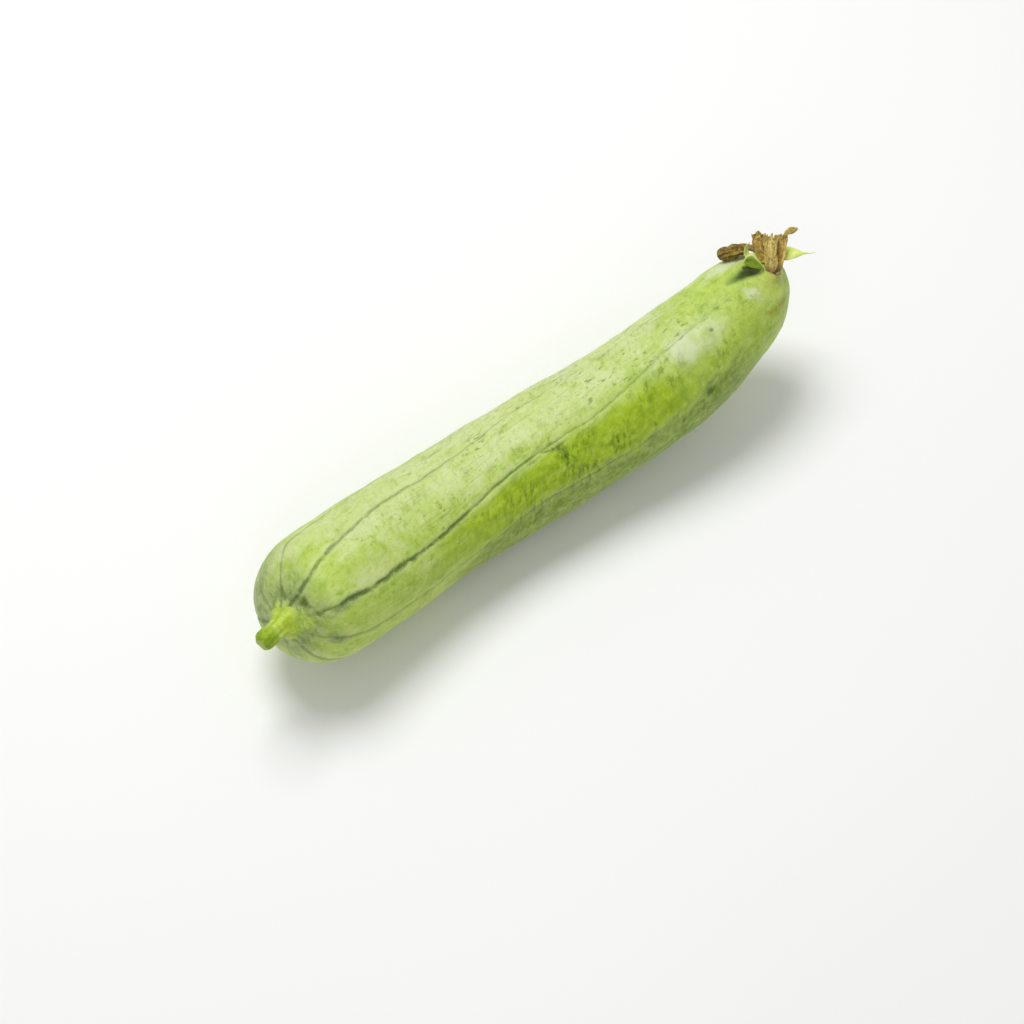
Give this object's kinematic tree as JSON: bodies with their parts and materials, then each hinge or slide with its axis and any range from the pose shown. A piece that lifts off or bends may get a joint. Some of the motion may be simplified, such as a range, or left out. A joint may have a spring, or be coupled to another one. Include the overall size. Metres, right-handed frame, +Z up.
{
  "type": "sponge gourd",
  "caption": "Whole sponge gourd lying on its side: long, gently curved pale-green fruit with dark veins, a cut stem stub and a withered brown flower at the far end.",
  "frame": {"origin": "middle of the object's box, on the surface that the fruit rests on", "axes": "+X from the cut stem to the blossom end, +Z up, +Y across the fruit"},
  "size_m": [0.2956, 0.0646, 0.0809],
  "materials": {
    "skin": "satin",
    "stem": "satin",
    "sepal": "satin",
    "dried_flower": "matte"
  },
  "bodies": {
    "root": {"gourd_body": "skin", "stem_stub": "stem", "calyx_tube": "dried_flower", "sepal_curled": "sepal", "sepal_upright": "sepal", "sepal_far": "sepal", "sepal_withered": "dried_flower", "sepal_right": "sepal", "petal_lobe": "dried_flower", "petal_fan_left": "dried_flower", "petal_fan_mid": "dried_flower", "petal_fan_right": "dried_flower", "petal_back": "dried_flower", "dried_style": "dried_flower"}
  },
  "joints": []
}
